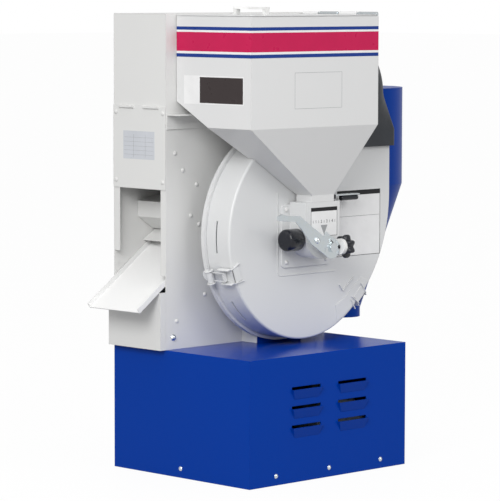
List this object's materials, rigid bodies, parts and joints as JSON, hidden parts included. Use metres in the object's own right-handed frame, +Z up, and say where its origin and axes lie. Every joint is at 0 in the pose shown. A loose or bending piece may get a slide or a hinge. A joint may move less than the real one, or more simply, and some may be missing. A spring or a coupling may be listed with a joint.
{
  "type": "rice huller",
  "caption": "Impeller rice huller: hopper with hinged lid, round husking drum, winnowing tower with rice chute, husk cyclone, belt drive in a louvred base.",
  "frame": {"origin": "centre of the base's underside", "axes": "+Z up, feed inlet and louvres facing -Y, rice chute on the -X side"},
  "size_m": [0.7448, 0.427, 0.8644],
  "materials": {
    "blue_paint": "gloss enamel",
    "galvanised": "galvanised sheet",
    "zinc": "bright zinc plate",
    "motor_paint": "grey enamel on ribbed casting",
    "steel": "ground steel",
    "cast_iron": "as cast, painted grey",
    "belt_rubber": "wrapped V belt",
    "beige_paint": "smooth gloss enamel",
    "impeller_alloy": "cast and machined",
    "cover_paint": "smooth gloss enamel",
    "liner_rubber": "urethane liner",
    "painted_screw": "gloss enamel over steel",
    "black_plastic": "fine grain",
    "brushed_lever": "pressed and plated",
    "stainless": "brushed stainless",
    "white_nylon": "turned nylon",
    "hopper_paint": "smooth gloss enamel",
    "handle_plastic": "moulded",
    "hood_rubber": "moulded rubber, satin",
    "chute_paint": "semi-gloss enamel",
    "cyclone_paint": "gloss enamel"
  },
  "bodies": {
    "machine": {"base_cover": "blue_paint", "base_pan": "galvanised", "base_screws": "zinc", "motor_plate": "galvanised", "motor_body": "motor_paint", "motor_fan_cover": "motor_paint", "motor_bolts": "zinc", "drive_belt": "belt_rubber", "belt_guard": "beige_paint", "front_bearing": "cast_iron", "rear_bearing": "cast_iron", "casing_back": "cover_paint", "casing_cover": "cover_paint", "casing_liner": "liner_rubber", "casing_spacers": "zinc", "casing_bolts": "zinc", "left_latch_base": "zinc", "left_latch_catch": "cover_paint", "right_latch_base": "zinc", "right_latch_catch": "cover_paint", "inlet_elbow": "cover_paint", "inlet_screws": "painted_screw", "shutter_guide": "black_plastic", "hopper": "hopper_paint", "lid_hinge": "zinc", "hopper_bracket": "beige_paint", "discharge_hood": "hood_rubber", "tower_shell": "beige_paint", "inspection_cover": "beige_paint", "inspection_screws": "painted_screw", "tower_screws": "painted_screw", "tower_bolts": "zinc", "skirt_panel": "beige_paint", "rice_chute": "chute_paint", "upper_guide": "galvanised", "chamber_divider": "galvanised", "fan_casing": "galvanised", "cyclone_body": "cyclone_paint", "cyclone_lid": "cyclone_paint", "cyclone_bracket": "cyclone_paint"},
    "rotor": {"impeller_shaft": "steel", "impeller": "impeller_alloy", "impeller_nut": "zinc", "driven_pulley": "cast_iron", "suction_fan": "galvanised"},
    "motor_rotor": {"motor_shaft": "steel", "motor_pulley": "cast_iron"},
    "feed_lever_body": {"feed_lever": "brushed_lever", "lever_stud": "zinc", "feed_gate": "stainless", "nylon_washer": "white_nylon"},
    "clamp_knob": {"star_knob": "black_plastic"},
    "plug": {"clean_out_plug": "black_plastic"},
    "shutter": {"feed_shutter": "zinc", "shutter_grip": "black_plastic"},
    "lid": {"hopper_lid": "hopper_paint", "lid_handle": "handle_plastic"},
    "left_latch": {"left_latch_lever": "zinc"},
    "right_latch": {"right_latch_lever": "zinc"}
  },
  "joints": [
    {"name": "rotor_spin", "type": "hinge", "parent": "machine", "child": "rotor", "pos_m": [0.05, 0, 0.4416], "axis": [0, 1, 0], "continuous": true},
    {"name": "motor_spin", "type": "hinge", "parent": "machine", "child": "motor_rotor", "pos_m": [0.05, 0, 0.0785], "axis": [0, 1, 0], "continuous": true},
    {"name": "feed_lever_turn", "type": "hinge", "parent": "machine", "child": "feed_lever_body", "pos_m": [0.046, -0.141, 0.42], "axis": [0, 1, 0], "range_deg": [-25, 25]},
    {"name": "clamp_knob_turn", "type": "hinge", "parent": "feed_lever_body", "child": "clamp_knob", "pos_m": [0.08, -0.141, 0.42], "axis": [1, 0, 0], "continuous": true},
    {"name": "plug_pull", "type": "slide", "parent": "machine", "child": "plug", "axis": [-1, 0, 0], "range_m": [0, 0.04]},
    {"name": "shutter_slide", "type": "slide", "parent": "machine", "child": "shutter", "axis": [1, 0, 0], "range_m": [0, 0.055]},
    {"name": "lid_turn", "type": "hinge", "parent": "machine", "child": "lid", "pos_m": [0.1495, -0.06, 0.8519], "axis": [0, 1, 0], "range_deg": [0, 100]},
    {"name": "left_latch_turn", "type": "hinge", "parent": "machine", "child": "left_latch", "pos_m": [-0.14921, -0.0185, 0.36909], "axis": [0.342, 0, -0.9397], "range_deg": [0, 100]},
    {"name": "right_latch_turn", "type": "hinge", "parent": "machine", "child": "right_latch", "pos_m": [0.21225, -0.0185, 0.30169], "axis": [0.7071, 0, 0.7071], "range_deg": [0, 100]}
  ],
  "couplings": [
    {"joint": "motor_spin", "follows": "rotor_spin", "ratio": 0.66667}
  ]
}
